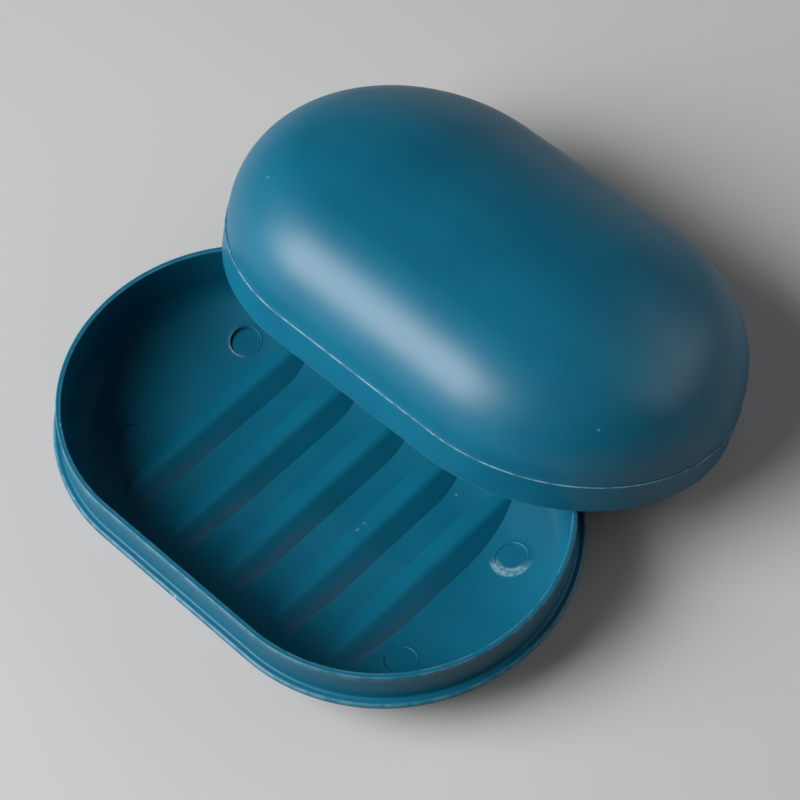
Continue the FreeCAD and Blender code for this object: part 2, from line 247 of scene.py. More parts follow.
def sweep_rule() -> ShapeRule:
    """Make the rule that carries a half section round the stadium, with a ragged flash where it is marked.

    Returns:
        The rule. It starts from a section whose X is the radius less the path's and whose Y is the depth.
    """
    rule = ShapeRule("sweep_round_the_box", {
        "End Centre": "Float", "Path Radius": "Float", "Path Points": "Int",
        "Flash Height": "Float", "Flash Scale": "Float", "Flash Seed": "Float"})
    graph = rule.graph
    circle = graph.node("GeometryNodeCurvePrimitiveCircle", inputs={
        "Resolution": CIRCLE_POINTS, "Radius": rule.entry["Path Radius"]})
    across = graph.split(graph.node("GeometryNodeInputPosition").outputs[0])[0]
    apart = graph.node("ShaderNodeCombineXYZ", inputs={"X": across.math("SIGN") * rule.size("End Centre")})
    stadium = graph.node("GeometryNodeSetPosition", inputs={
        "Geometry": circle.outputs[0], "Offset": apart.outputs[0]})
    path = graph.node("GeometryNodeResampleCurve", inputs={
        "Curve": stadium.outputs[0], "Count": rule.entry["Path Points"]})
    upright = graph.node("GeometryNodeSetCurveNormal", {"mode": "Z_UP"}, {"Curve": path.outputs[0]})
    section = graph.node("GeometryNodeMeshToCurve", inputs={"Mesh": rule.entry["Start"]})
    swept = graph.node("GeometryNodeCurveToMesh", inputs={
        "Curve": upright.outputs[0], "Profile Curve": section.outputs[0]})
    marked = graph.read("GeometryNodeInputNamedAttribute", {"data_type": "FLOAT"}, {"Name": "flash"})
    ragged = graph.read("ShaderNodeTexNoise", {"noise_dimensions": "4D"}, {
        "W": rule.entry["Flash Seed"], "Scale": rule.entry["Flash Scale"], "Detail": 3.0})
    height = marked * ragged.rise(0.42, 0.66) * rule.size("Flash Height")
    outward = graph.node("ShaderNodeVectorMath", {"operation": "SCALE"}, {
        0: graph.node("GeometryNodeInputNormal").outputs[0], "Scale": height})
    flashed = graph.node("GeometryNodeSetPosition", inputs={
        "Geometry": swept.outputs[0], "Offset": outward.outputs[0]})
    rule.close(flashed.outputs[0])
    return rule


def rib_rule() -> ShapeRule:
    """Make the rule that raises a level plate to a bowl with a row of ribs.

    Returns:
        The rule. A plate's height becomes the higher of the bowl's sweep and the ribs, whose straight flanks
        meet in a round crest.
    """
    rule = ShapeRule("raise_bowl_and_ribs", {
        "End Centre": "Float", "Floor Height": "Float", "Floor Half": "Float", "Sweep Radius": "Float",
        "Rib Pitch": "Float", "Rib Steps": "Float", "Crest Radius": "Float", "Crest Axis": "Float",
        "Flank Slope": "Float"})
    graph = rule.graph
    along, across, _ = graph.split(graph.node("GeometryNodeInputPosition").outputs[0])
    beyond = (abs(along) - rule.size("End Centre")).at_least(0.0)
    radius = (beyond * beyond + across * across).root()
    out = (radius - rule.size("Floor Half")).at_least(0.0)
    sweep = rule.size("Sweep Radius")
    bowl = rule.size("Floor Height") + sweep - (sweep * sweep - out * out).root()
    number = (along / rule.size("Rib Pitch")).math("ROUND")
    number = number.at_most(rule.size("Rib Steps")).at_least(rule.size("Rib Steps") * -1.0)
    off = abs(along - number * rule.size("Rib Pitch"))
    crest, slope = rule.size("Crest Radius"), rule.size("Flank Slope")
    steep = (slope * slope + 1.0).root()
    arc = (crest * crest - off * off).root()
    flank = crest * steep - off * slope
    rib = rule.size("Crest Axis") + arc + off.above(crest * slope / steep) * (flank - arc)
    place = graph.node("ShaderNodeCombineXYZ", inputs={"X": along, "Y": across, "Z": bowl.at_least(rib)})
    raised = graph.node("GeometryNodeSetPosition", inputs={
        "Geometry": rule.entry["Start"], "Position": place.outputs[0]})
    rule.close(raised.outputs[0])
    return rule


class Section:
    """A half section drawn as a run of points: radius out from the stadium's spine, and height."""

    def __init__(self, start: Point | None = None) -> None:
        """Begin at a point, or at the first arc."""
        self.points: list[Point] = [start] if start else []
        self.marks: dict[str, dict[int, float]] = {"flash": {}, "wear_and_highlight": {}}

    def line(self, end: Point, pieces: int = 1) -> "Section":
        """Add a straight run.

        Args:
            end: Where it ends.
            pieces: How many pieces it is divided into.

        Returns:
            The section, so that runs can follow on.
        """
        begin = np.array(self.points[-1])
        for share in np.arange(1, pieces + 1) / pieces:
            self.points.append(tuple(begin + (np.array(end) - begin) * share))
        return self

    def arc(self, centre: Point, radius: float, turn: tuple[float, float], pieces: int) -> "Section":
        """Add a round run, and a straight one to where it begins.

        Args:
            centre: The arc's centre.
            radius: Its radius.
            turn: The angles in degrees where it begins and ends, from the outward level, upwards.
            pieces: How many pieces it is divided into.

        Returns:
            The section, so that runs can follow on.
        """
        for angle in np.radians(np.linspace(*turn, pieces + 1)):
            place = (centre[0] + radius * math.cos(angle), centre[1] + radius * math.sin(angle))
            if not self.points or math.dist(place, self.points[-1]) > 1e-6:
                self.points.append(place)
        return self

    def mark(self, kind: str, weight: float, reach: int = 1) -> "Section":
        """Mark the last points as ones with flash, or with wear and painted highlight.

        Args:
            kind: "flash", where the mould leaves a ragged edge, or the pale edge mark, where wear and a painted
                highlight pale an edge.
            weight: How strong the mark is, from 0 to 1.
            reach: How many points back it goes.

        Returns:
            The section, so that runs can follow on.
        """
        for index in range(len(self.points) - reach, len(self.points)):
            self.marks[kind][index] = weight
        return self

    def mesh(self, path_radius: float) -> bpy.types.Mesh:
        """Return the section as a run of edges for the sweep.

        Args:
            path_radius: The radius that the sweep's path has.

        Returns:
            A mesh of edges in metres, with an attribute for each kind of mark.
        """
        made = bpy.data.meshes.new("section")
        places = [((radius - path_radius) * MM, -height * MM, 0.0) for radius, height in self.points]
        made.from_pydata(places, [(i, i + 1) for i in range(len(places) - 1)], [])
        for kind, weights in self.marks.items():
            layer = made.attributes.new(kind, "FLOAT", "POINT")
            layer.data.foreach_set("value", [weights.get(i, 0.0) for i in range(len(places))])
        return made


@dataclass(frozen=True)
class Layer:
    """Something on a plastic's skin: where it lies, its colour, and how much rougher it makes the skin."""

    mask: Value
    tint: Colour
    rougher: float


@dataclass(frozen=True)
class SatinPlastic:
    """Moulded polypropylene with a satin skin: mottle, flow streaks, fine grain, edges paled by wear and
    painted highlight, and dust.
    """

    name: str
    body: Colour = (0.0009, 0.107, 0.186, 1.0)
    paler: Colour = (0.0016, 0.121, 0.206, 1.0)
    # Pale edge tint: partly wear, partly a painted highlight on rounded edges and the step line.
    wear_and_highlight: Colour = (0.29, 0.48, 0.56, 1.0)
    dust: Colour = (0.42, 0.55, 0.6, 1.0)
    roughness: float = 0.41
    gloss: float = 0.46
    ior: float = 1.49
    # Noise scales are per metre, and the streaks' one is drawn out along the box.
    mottle_scale: float = 65.0
    streak_scale: tuple[float, float, float] = (14.0, 110.0, 110.0)
    grain_scale: float = 2600.0
    grain_depth: float = 0.04
    grain_strength: float = 0.3
    wear_and_highlight_scale: float = 420.0
    speck_scale: float = 340.0
    speck_share: float = 0.03
    speck_strength: float = 0.22

    def noise(self, graph: Graph, where: bpy.types.NodeSocket, scale: float, detail: float = 3.0) -> Value:
        """Return a noise of a scale per metre over a surface."""
        return graph.read("ShaderNodeTexNoise", inputs={"Vector": where, "Scale": scale, "Detail": detail})

    def specks(self, graph: Graph, where: bpy.types.NodeSocket) -> Value:
        """Return a mask of tiny specks.

        Args:
            graph: The material's graph.
            where: The object's coordinates.

        Returns:
            The strength in a speck, else 0.
        """
        cells = graph.node("ShaderNodeTexVoronoi", inputs={"Vector": where, "Scale": self.speck_scale})
        chance = graph.split(cells.outputs["Color"])
        near = Value(graph, cells.outputs["Distance"]).rise(0.16, 0.08)
        held = chance[0].math("LESS_THAN", self.speck_share)
        return near * held * chance[1].rise(0.0, 1.0) * self.speck_strength

    def layers(self, graph: Graph, where: bpy.types.NodeSocket) -> list[Layer]:
        """Return what lies on the skin, from the bottom up: edges paled by wear and painted highlight, then
        dust.

        Args:
            graph: The material's graph.
            where: The object's coordinates.

        Returns:
            The layers.
        """
        # Edge mark from the section: partly wear, partly a painted highlight.
        edge = graph.read("ShaderNodeAttribute", {"attribute_name": "wear_and_highlight"}, output="Fac")
        ragged = self.noise(graph, where, self.wear_and_highlight_scale).rise(0.36, 0.62) * 0.75 + 0.25
        return [Layer(edge * ragged, self.wear_and_highlight, rougher=0.05),
                Layer(self.specks(graph, where), self.dust, rougher=0.2)]

    def build(self) -> bpy.types.Material:
        """Return the finish as a node material."""
        material = bpy.data.materials.new(self.name)
        material.use_nodes = True
        material.node_tree.nodes.clear()
        graph = Graph(material.node_tree)
        where = graph.node("ShaderNodeTexCoord").outputs["Object"]
        drawn = graph.node("ShaderNodeMapping", inputs={"Vector": where, "Scale": self.streak_scale})
        mottle = self.noise(graph, where, self.mottle_scale, 5.0)
        streaks = self.noise(graph, drawn.outputs[0], 1.0, 2.0)
        grain = self.noise(graph, where, self.grain_scale, 3.0)
        colour = graph.mix((mottle * 0.6 + streaks * 0.4).rise(0.36, 0.64), self.body, self.paler)
        roughness = self.roughness + (mottle - 0.5) * 0.06 + (grain - 0.5) * 0.05
        for layer in self.layers(graph, where):
            colour = graph.mix(layer.mask, colour, layer.tint)
            roughness = roughness + layer.mask * layer.rougher
        bump = graph.node("ShaderNodeBump", inputs={
            "Strength": self.grain_strength, "Distance": self.grain_depth * MM, "Height": grain})
        shader = graph.node("ShaderNodeBsdfPrincipled", inputs={
            "Base Color": colour, "Roughness": roughness, "Normal": bump.outputs[0], "IOR": self.ior,
            "Specular IOR Level": self.gloss})
        graph.node("ShaderNodeOutputMaterial", inputs={"Surface": shader.outputs[0]})
        return material


@dataclass(frozen=True)
class Scuff:
    """A whitened crescent beside an ejector mark, or a fleck on an edge where the inner radius is below 0.

    Place and radii are in millimetres, and turn is the side that the crescent lies on, in degrees.
    """

    along: float
    across: float
    inner: float
    outer: float
    turn: float
    strength: float
    grain_scale: float = 900.0

    def mask(self, graph: Graph, finish: SatinPlastic, where: bpy.types.NodeSocket) -> Value:
        """Return where the crescent lies.

        Args:
            graph: The material's graph.
            finish: The finish that it lies on.
            where: The object's coordinates.

        Returns:
            Its strength over the surface.
        """
        x, y, _ = graph.split(where)
        x, y = x - self.along * MM, y - self.across * MM
        distance = (x * x + y * y).root()
        turn = math.radians(self.turn)
        facing = (x * math.cos(turn) + y * math.sin(turn)) / distance.at_least(0.05 * MM)
        ring = distance.rise((self.inner - 0.25) * MM, (self.inner + 0.35) * MM)
        ring = ring * distance.rise((self.outer + 0.35) * MM, (self.outer - 0.3) * MM)
        torn = finish.noise(graph, where, self.grain_scale, 4.0).rise(0.36, 0.6) * 0.7 + 0.3
        return ring * facing.rise(0.05, 0.75) * torn * graph.upward().rise(-0.3, 0.0) * self.strength


@dataclass(frozen=True, kw_only=True)
class ScuffedSatin(SatinPlastic):
    """The tray's satin skin, with whitened marks and a painted greyish reflection low on the ribs' flanks."""

    rib_pitch: float
    rib_half: float
    # These body colours are a darker copy of the lid's: painted shade for the tray's shaded inside.
    body: Colour = (0.0008, 0.097, 0.166, 1.0)
    paler: Colour = (0.0014, 0.108, 0.183, 1.0)
    gloss: float = 0.3
    whitened: Colour = (0.24, 0.4, 0.48, 1.0)
    # Greyish tint painted low on the ribs' shaded flanks: a painted reflection of grey surroundings.
    rib_painted_reflection: Colour = (0.02, 0.094, 0.154, 1.0)
    rib_painted_reflection_scale: float = 260.0
    # Heights and places along Y, in millimetres, between which the painted reflection fades in.
    rib_painted_reflection_height: Point = (3.5, 2.9)
    rib_painted_reflection_reach: Point = (4.0, -16.0)
    scuffs: tuple[Scuff, ...] = (
        Scuff(39.3, 15.7, 2.4, 4.4, -60.0, 0.6),
        Scuff(-38.8, 17.0, 3.1, 3.9, -120.0, 0.15),
        Scuff(0.28, -38.93, -1.0, 0.5, -90.0, 0.8),
        Scuff(-31.37, -37.18, -1.0, 0.35, -90.0, 0.6),
        Scuff(-41.67, -29.81, -1.0, 0.3, 240.0, 0.6))

    def rib_painted_reflection_mask(self, graph: Graph, where: bpy.types.NodeSocket) -> Value:
        """Return where the painted reflection lies: low on one flank of each rib, towards the ribs' front ends.

        Args:
            graph: The material's graph.
            where: The object's coordinates.

        Returns:
            Its strength over the surface.
        """
        x, y, z = graph.split(where)
        pitch, half = self.rib_pitch * MM, self.rib_half * MM
        off = x.math("WRAP", 0.5 * pitch, -0.5 * pitch)
        flank = off.rise(0.45 * half, 0.75 * half) * off.rise(1.06 * half, 0.96 * half)
        low = z.rise(*(height * MM for height in self.rib_painted_reflection_height))
        reach = y.rise(*(place * MM for place in self.rib_painted_reflection_reach)) * abs(x).rise(2.6 * pitch, 2.4 * pitch)
        patchy = self.noise(graph, where, self.rib_painted_reflection_scale, 4.0).rise(0.3, 0.62) * 0.55 + 0.45
        return flank * low * reach * patchy * graph.upward().rise(0.1, 0.4)

    def layers(self, graph: Graph, where: bpy.types.NodeSocket) -> list[Layer]:
        """Return the painted reflection on the ribs, the plain skin's layers and the scuffs.

        Args:
            graph: The material's graph.
            where: The object's coordinates.

        Returns:
            The layers.
        """
        marks = [Layer(scuff.mask(graph, self, where), self.whitened, rougher=0.12) for scuff in self.scuffs]
        # The ribs' greyish flank tint is a painted reflection.
        rib_reflection_layer = Layer(self.rib_painted_reflection_mask(graph, where), self.rib_painted_reflection, rougher=0.08)
        return [rib_reflection_layer] + super().layers(graph, where) + marks


@dataclass(frozen=True)
class Fit:
    """Sizes that the two mouldings share."""

    length: float
    width: float
    ledge_reveal: float = 0.05
    line_step: float = 0.25
    lid_wall: float = 1.25
    clearance: float = 0.2
    edge_round: float = 0.35
    path_points: int = 480
    flash_scale: float = 160.0
    flash_seed: float = 3.0

    @property
    def end_centre(self) -> float:
        """How far from the middle the stadium's round ends are centred."""
        return (self.length - self.width) / 2

    @property
    def ledge(self) -> float:
        """Radius over the tray's ledge."""
        return self.width / 2

    @property
    def band(self) -> float:
        """Radius over the lid's skirt at the step line."""
        return self.ledge - self.ledge_reveal

    @property
    def dome(self) -> float:
        """Radius over the lid's dome at its foot."""
        return self.band - self.line_step

    @property
    def mouth(self) -> float:
        """Radius inside the lid's skirt."""
        return self.dome - self.lid_wall

    @property
    def spigot(self) -> float:
        """Radius over the tray's plug rim."""
        return self.mouth - self.clearance

    def sweep(self, rule: ShapeRule, section: Section, material: bpy.types.Material,
              flash: float = 0.0) -> bpy.types.Mesh:
        """Carry a section round the box.

        Args:
            rule: The sweep.
            section: The half section.
            material: The finish of the result.
            flash: How high the flash stands where the section marks it.

        Returns:
            The swept mesh, in metres.
        """
        return rule.run(section.mesh(self.ledge), {
            "End Centre": self.end_centre * MM, "Path Radius": self.ledge * MM, "Path Points": self.path_points,
            "Flash Height": flash * MM, "Flash Scale": self.flash_scale, "Flash Seed": self.flash_seed,
            "Material": material})


def settle(name: str, meshes: Iterable[bpy.types.Mesh], material: bpy.types.Material,
           place: Matrix | None = None) -> bpy.types.Object:
    """Weld meshes into one closed moulding with smooth faces and crisp edges.

    Args:
        name: The piece's name.
        meshes: The meshes to weld.
        material: The finish.
        place: Where the piece goes, applied to its mesh.

    Returns:
        The piece, at the origin.
    """
    weld = bmesh.new()
    for mesh in meshes:
        weld.from_mesh(mesh)
    bmesh.ops.remove_doubles(weld, verts=weld.verts, dist=WELD * MM)
    bmesh.ops.dissolve_degenerate(weld, edges=weld.edges, dist=SLIVER * MM)
    bmesh.ops.recalc_face_normals(weld, faces=weld.faces)
    open_edges = sum(not edge.is_manifold for edge in weld.edges)
    made = bpy.data.meshes.new(name)
    weld.to_mesh(made)
    weld.free()
    made.transform(place or Matrix())
    made.materials.clear()
    made.materials.append(material)
    made.shade_smooth()
    made.set_sharp_from_angle(angle=math.radians(CREASE))
    piece = bpy.data.objects.new(name, made)
    bpy.context.scene.collection.objects.link(piece)
    LOG.info("%s: %d faces, %d open edges", name, len(made.polygons), open_edges)
    return piece


@dataclass(frozen=True)
class Bowl:
    """Half section of a bowl: level floor, large sweep, tight corner and upright wall."""

    floor: float
    floor_half: float
    wall: float
    corner: float
    top: float

    @property
    def sweep(self) -> float:
        """Radius of the large sweep, tangent to the floor and to the corner."""
        rise = self.top - self.floor
        return (self.run**2 + rise**2 - self.corner**2) / (2 * (rise - self.corner))

    @property
    def run(self) -> float:
        """Level distance from the floor's end to the corner's centre."""
        return self.wall - self.corner - self.floor_half

    @property
    def joint(self) -> float:
        """Angle in degrees, below the outward level, at which the sweep meets the corner."""
        return math.degrees(math.atan2(self.floor + self.sweep - self.top, self.run))

    def reach(self, height: float) -> float:
        """Return the radius at which the sweep has a height."""
        return self.floor_half + math.sqrt(self.sweep**2 - (self.sweep + self.floor - height) ** 2)

    def height(self, radius: float) -> float:
        """Return the sweep's height at a radius."""
        out = max(radius - self.floor_half, 0.0)
        return self.floor + self.sweep - math.sqrt(self.sweep**2 - out**2)

    def arcs(self, start: float) -> list[tuple[Point, float, tuple[float, float], int]]:
        """Return the section's two arcs from a radius outwards, as Section.arc takes them."""
        begin = math.degrees(math.acos((start - self.floor_half) / self.sweep))
        return [((self.floor_half, self.floor + self.sweep), self.sweep, (-begin, -self.joint), 6),
                ((self.wall - self.corner, self.top), self.corner, (-self.joint, 0.0), 14)]


@dataclass(frozen=True)
class PinMark:
    """Flat witness disc of an ejector pin, sunk at its uphill edge, with a burr and a raised collar."""

    along: float
    across: float
    radius: float = 3.3
    level: float = 0.55
    burr: float = 0.06
    collar: float = 0.1
    sink: float = 0.03
    points: int = 72

    def rings(self) -> list[tuple[float, float, float]]:
        """Return the mark's rings from the disc outwards: radius, share of the burr, share of the collar."""
        steps = [(-0.08, 0, 0), (0.0, 0, 0.8), (0.12, 1, 1), (0.32, 0, 0.9), (0.8, 0, 0.45), (1.6, 0, 0)]
        return [(self.radius + out, burr, collar) for out, burr, collar in steps]

    def outline(self) -> list[list[Point]]:
        """Return the rings as closed runs of plan points."""
        turns = np.linspace(0, 2 * math.pi, self.points, endpoint=False)
        circle = [(math.cos(turn), math.sin(turn)) for turn in turns]
        return [[(self.along + radius * x, self.across + radius * y) for x, y in circle]
                for radius, _, _ in self.rings()]

    def press(self, places: np.ndarray, bowl: Bowl, end_centre: float) -> None:
        """Press the mark into plate points.

        Args:
            places: The plate's points in millimetres, changed in place.
            bowl: The bowl that the plate follows.
            end_centre: How far from the middle the stadium's round ends are centred.
        """
        uphill = Vector((self.along - math.copysign(end_centre, self.along), self.across))
        slope = math.tan(math.asin((uphill.length - bowl.floor_half) / bowl.sweep)) * self.level
        foot = bowl.height(uphill.length - self.radius) + slope * self.radius - self.sink
        offset = places[:, :2] - (self.along, self.across)
        distance = np.hypot(*offset.T)
        climb = offset @ np.array(uphill.normalized())
        radii, burrs, collars = zip(*self.rings())
        above = 0.5 + 0.5 * climb / np.maximum(distance, 0.1)
        rise = np.interp(distance, radii, burrs) * self.burr
        rise += np.interp(distance, radii, collars) * self.collar * above
        places[:, 2] += np.where(distance > radii[1] - HAIR, rise, 0.0)
        disc = distance < radii[0] + HAIR
        places[disc, 2] = foot + slope * climb[disc]


class Plate(Enum):
    """The two faces of the tray's floor."""

    INSIDE = "inside"
    UNDERSIDE = "underside"


@dataclass
class BaseTray:
    """The ribbed tray: plug rim, ledge, bowl, soap ribs with flutes beneath, and ejector marks."""

    fit: Fit
    finish: SatinPlastic
    rim_top: float
    ledge_height: float = 12.0
    flange: float = 1.5
    rim_wall: float = 1.2
    rim_round: float = 0.3
    wall: float = 1.5
    floor_half: float = 15.0
    bowl_corner: float = 6.0
    draft: float = 0.15
    rib_count: int = 5
    rib_pitch: float = 14.6
    rib_width: float = 9.2
    rib_height: float = 2.1
    rib_crest: float = 2.2
    gate_radius: float = 5.0
    plate_radius: float = 30.0
    plate_step: Point = (0.365, 0.9)
    plate_margin: float = 0.4
    point_gap: float = 0.3
    # Weights of the pale edge mark on the tray: partly wear, partly a painted highlight on the rim and ledge
    # edges.
    inner_wear_and_highlight: float = 0.12
    rim_wear_and_highlight: float = 0.22
    ledge_wear_and_highlight: float = 0.2
    pins: Sequence[PinMark] = (
        PinMark(-38.8, 17.0, level=0.42, burr=0.09),
        PinMark(-38.7, -15.9, burr=0.1),
        PinMark(39.0, -16.1, level=0.8),
        PinMark(39.3, 15.7))

    def bowl(self, face: Plate) -> Bowl:
        """Return the bowl of the inside or of the underside."""
        inner = self.fit.spigot - self.rim_wall - self.draft
        top = self.ledge_height - self.flange
        if face is Plate.INSIDE:
            return Bowl(self.wall, self.floor_half, inner, self.bowl_corner, top)
        return Bowl(0.0, self.floor_half, inner + self.wall, self.bowl_corner + self.wall, top)

    @property
    def flank_slope(self) -> float:
        """Rise of a rib's flanks, tangent to the crest and down to the floor at the rib's width."""
        half, drop = self.rib_width / 2, self.rib_crest - self.rib_height
        span = half**2 - self.rib_crest**2
        return (self.rib_crest * math.sqrt(span + drop**2) - half * drop) / span

    @property
    def crest_axis(self) -> float:
        """Height of the axis that the ribs' crests and the flutes' crests share."""
        return self.wall + self.rib_height - self.rib_crest

    def crest(self, face: Plate) -> float:
        """Return the radius of the ribs' crests, or of the crests of the flutes beneath them."""
        return self.rib_crest if face is Plate.INSIDE else self.rib_crest - self.wall

    def rib_top(self, face: Plate, off: float) -> float:
        """Return the height of a rib or flute at a distance from its middle."""
        crest, slope = self.crest(face), self.flank_slope
        steep = math.hypot(1.0, slope)
        if abs(off) < crest * slope / steep:
            return self.crest_axis + math.sqrt(crest**2 - off**2)
        return self.crest_axis + crest * steep - abs(off) * slope

    def ring_section(self) -> Section:
        """Return the section from the floor's edge over the rim and the ledge to the underside's edge."""
        inside, outside = self.bowl(Plate.INSIDE), self.bowl(Plate.UNDERSIDE)
        fit, small = self.fit, self.rim_round
        inner = fit.spigot - self.rim_wall
        root = fit.clearance + fit.edge_round
        nose = self.flange / 2
        section = Section()
        for arc in inside.arcs(self.plate_radius):
            section.arc(*arc)
        section.line((inner, self.rim_top - small), 4)
        section.arc((inner + small, self.rim_top - small), small, (180, 90), 7)
        # The rim and ledge edges are paled partly by wear and partly by a painted highlight.
        section.mark("wear_and_highlight", self.inner_wear_and_highlight, 4)
        section.line((fit.spigot - small, self.rim_top), 2)
        section.arc((fit.spigot - small, self.rim_top - small), small, (90, 0), 7)
        section.mark("wear_and_highlight", self.rim_wear_and_highlight, 6)
        section.line((fit.spigot, self.ledge_height + root), 4)
        section.arc((fit.spigot + root, self.ledge_height + root), root, (180, 270), 7)
        centre = (fit.ledge - nose, self.ledge_height - nose)
        section.arc(centre, nose, (90, 20), 6).mark("wear_and_highlight", self.ledge_wear_and_highlight, 5)
        section.arc(centre, nose, (20, -90), 8)
        for centre, radius, turn, pieces in reversed(outside.arcs(self.plate_radius)):
            section.arc(centre, radius, turn[::-1], pieces)
        return section

    def rib_outline(self, face: Plate, middle: float) -> list[Point]:
        """Return the closed line where a rib or flute runs out into the floor and the bowl.

        Args:
            face: The inside or the underside.
            middle: Where the rib lies along the box.

        Returns:
            Plan points, once round.
        """
        bowl = self.bowl(face)
        half = (self.rib_top(face, 0.0) - bowl.floor) / self.flank_slope
        half += self.crest(face) * (math.hypot(1.0, self.flank_slope) - 1.0) / self.flank_slope
        tip = []
        for off in half * np.sin(np.radians(np.linspace(-90, 90, 37))):
            height = max(self.rib_top(face, off), bowl.floor)
            beyond = max(abs(middle + off) - self.fit.end_centre, 0.0)
            tip.append((middle + off, math.sqrt(bowl.reach(height) ** 2 - beyond**2)))
        foot = [(tip[-1][0], across) for across in np.linspace(tip[-1][1], -tip[-1][1], 33)[1:-1]]
        far_tip = [(along, -across) for along, across in reversed(tip)]
        far_foot = [(tip[0][0], across) for across in np.linspace(-tip[0][1], tip[0][1], 33)[1:-1]]
        return [*tip, *foot, *far_tip, *far_foot]

    def plate(self, face: Plate, rim: list[Point]) -> bpy.types.Mesh:
        """Make a level plate whose points follow the outlines of what stands on it.

        Args:
            face: The inside or the underside.
            rim: The plate's edge, plan points once round.

        Returns:
            A level mesh, in metres.
        """
        reach = (self.rib_count - 1) / 2
        loops = [self.rib_outline(face, self.rib_pitch * (k - reach)) for k in range(self.rib_count)]
        if face is Plate.INSIDE:
            loops += [ring for pin in self.pins for ring in pin.outline()]
        points = [*rim]
        edges = []
        for loop in loops:
            first = len(points)
            points += loop
            edges += [(first + i, first + (i + 1) % len(loop)) for i in range(len(loop))]
        points += self.spread(points)
        plan = [Vector(point) for point in points]
        places, _, faces, *_ = geometry.delaunay_2d_cdt(plan, edges, [list(range(len(rim)))], 1, 1e-5)
        made = bpy.data.meshes.new(face.value)
        made.from_pydata([(place.x * MM, place.y * MM, 0.0) for place in places], [], faces)
        return made

    def spread(self, taken: list[Point]) -> list[Point]:
        """Return grid points inside the plate that keep off the points already taken."""
        reach = self.plate_radius + self.fit.end_centre
        columns = np.arange(-(reach // self.plate_step[0]), reach / self.plate_step[0]) * self.plate_step[0]
        rows = np.arange(-self.plate_radius, self.plate_radius, self.plate_step[1])
        grid = np.stack(np.meshgrid(columns, rows), -1).reshape(-1, 2)
        beyond = np.maximum(np.abs(grid[:, 0]) - self.fit.end_centre, 0.0)
        grid = grid[np.hypot(beyond, grid[:, 1]) < self.plate_radius - self.plate_margin]
        nearest = np.full(len(grid), np.inf)
        for point in taken:
            nearest = np.minimum(nearest, np.hypot(*(grid - point).T))
        return [tuple(point) for point in grid[nearest > self.point_gap]]

    def raise_plate(self, rule: ShapeRule, face: Plate, rim: list[Point],
                    material: bpy.types.Material) -> bpy.types.Mesh:
        """Make a floor plate and raise its bowl, ribs and marks.

        Args:
            rule: The rule that raises the bowl and the ribs.
            face: The inside or the underside.
            rim: The plate's edge, plan points once round.
            material: The finish.

        Returns:
            The raised plate, in metres.
        """
        bowl = self.bowl(face)
        made = rule.run(self.plate(face, rim), {
            "End Centre": self.fit.end_centre * MM, "Floor Height": bowl.floor * MM,
            "Floor Half": bowl.floor_half * MM, "Sweep Radius": bowl.sweep * MM,
            "Rib Pitch": self.rib_pitch * MM, "Rib Steps": (self.rib_count - 1) / 2,
            "Crest Radius": self.crest(face) * MM, "Crest Axis": self.crest_axis * MM,
            "Flank Slope": self.flank_slope, "Material": material})
        places = np.empty(len(made.vertices) * 3)
        made.vertices.foreach_get("co", places)
        places = places.reshape(-1, 3) / MM
        if face is Plate.INSIDE:
            for pin in self.pins:
                pin.press(places, bowl, self.fit.end_centre)
        else:
            places[np.hypot(places[:, 0], places[:, 1]) < self.gate_radius, 2] = 0.0
        made.vertices.foreach_set("co", (places * MM).ravel())
        return made

    def build(self, sweep: ShapeRule, ribs: ShapeRule) -> bpy.types.Object:
        """Build the tray and put it in place of its CAD node.

        Args:
            sweep: The rule that carries the section round.
            ribs: The rule that raises the floor.

        Returns:
            The tray.
        """
        material = self.finish.build()
        section = self.ring_section()
        ring = self.fit.sweep(sweep, section, material)
        places = np.empty(len(ring.vertices) * 3)
        ring.vertices.foreach_get("co", places)
        rows = places.reshape(-1, len(section.points), 3)[..., :2] / MM
        faces = {Plate.INSIDE: rows[:, 0], Plate.UNDERSIDE: rows[:, -1]}
        plates = [self.raise_plate(ribs, face, [tuple(point) for point in rim], material)
                  for face, rim in faces.items()]
        tray = settle("tray", [ring, *plates], material)
        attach(tray, "base")
        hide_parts("base_tray")
        return tray


